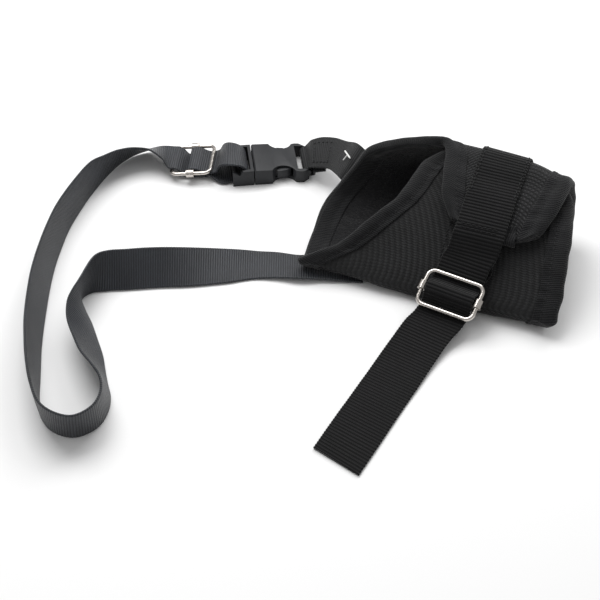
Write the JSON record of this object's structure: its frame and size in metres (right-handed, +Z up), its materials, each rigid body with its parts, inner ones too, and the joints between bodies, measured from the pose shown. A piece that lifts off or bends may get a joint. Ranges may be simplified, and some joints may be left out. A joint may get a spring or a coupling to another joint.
{
  "type": "fabric dog muzzle",
  "caption": "Soft black dog muzzle lying flat: padded snout sleeve with hook-and-loop flap, webbing girth strap in a wire slider, and neck strap with slider and side-release buckle.",
  "frame": {"origin": "centre of the footprint on the table, under the overall bounding box", "axes": "+X to the right along the overall length, from the neck strap's loop to the sleeve's narrow end; +Y away from the viewer, from the girth strap's tail to the buckle; +Z up from the table"},
  "size_m": [0.3258, 0.2828, 0.062],
  "materials": {
    "outer_fabric": "ribbed polyester weave",
    "foam": "laminated foam",
    "fleece": "short fleece pile",
    "binding_tape": "knitted binding tape",
    "hook_tape": "hook tape",
    "loop_tape": "loop tape",
    "girth_webbing": "ribbed nylon webbing",
    "neck_webbing": "woven nylon webbing",
    "thread": "sewing thread",
    "nickel_wire": "nickel-plated steel wire",
    "buckle_plastic": "satin moulded acetal",
    "tag_plastic": "white plastic"
  },
  "bodies": {
    "muzzle": {"sleeve_shell": "outer_fabric", "sleeve_foam": "foam", "sleeve_lining": "fleece", "binding_wide_end": "binding_tape", "binding_narrow_end": "binding_tape", "binding_flap": "binding_tape", "binding_inner_edge": "binding_tape", "hook_patch": "hook_tape", "loop_patch": "loop_tape", "girth_strap": "girth_webbing", "girth_anchor": "girth_webbing", "girth_slider_bar": "nickel_wire", "flap_stitching": "thread", "neck_strap": "neck_webbing", "buckle_socket": "buckle_plastic", "short_strap": "neck_webbing", "short_strap_stitching": "thread", "tag_pin": "tag_plastic"},
    "plug": {"buckle_plug": "buckle_plastic", "neck_loop": "neck_webbing", "neck_slider_bar": "nickel_wire"},
    "neck_frame": {"neck_slider_frame": "nickel_wire"},
    "girth_frame": {"girth_slider_frame": "nickel_wire"},
    "prong_front": {"buckle_prong_front": "buckle_plastic"},
    "prong_back": {"buckle_prong_back": "buckle_plastic"}
  },
  "joints": [
    {"name": "buckle_release", "type": "slide", "parent": "muzzle", "child": "plug", "axis": [-0.9925, -0.1219, 0], "range_m": [0, 0.028], "deforming": ["neck_strap", "buckle_prong_front", "buckle_prong_back"]},
    {"name": "neck_slider_shift", "type": "slide", "parent": "plug", "child": "neck_frame", "axis": [0.9921, -0.0694, 0.1045], "range_m": [-0.0025, 0.0015]},
    {"name": "girth_slider_shift", "type": "slide", "parent": "muzzle", "child": "girth_frame", "axis": [0.4261, 0.7686, 0.4772], "range_m": [-0.0025, 0.002]},
    {"name": "prong_front_squeeze", "type": "hinge", "parent": "plug", "child": "prong_front", "pos_m": [-0.03564, 0.10907, 0.00575], "axis": [0, 0, 1], "range_deg": [0, 9], "stiffness_Nm_per_rad": 0.05},
    {"name": "prong_back_squeeze", "type": "hinge", "parent": "plug", "child": "prong_back", "pos_m": [-0.03798, 0.12812, 0.00575], "axis": [0, 0, 1], "range_deg": [-9, 0], "stiffness_Nm_per_rad": 0.05}
  ],
  "couplings": [
    {"joint": "prong_back_squeeze", "follows": "prong_front_squeeze", "ratio": -1}
  ]
}
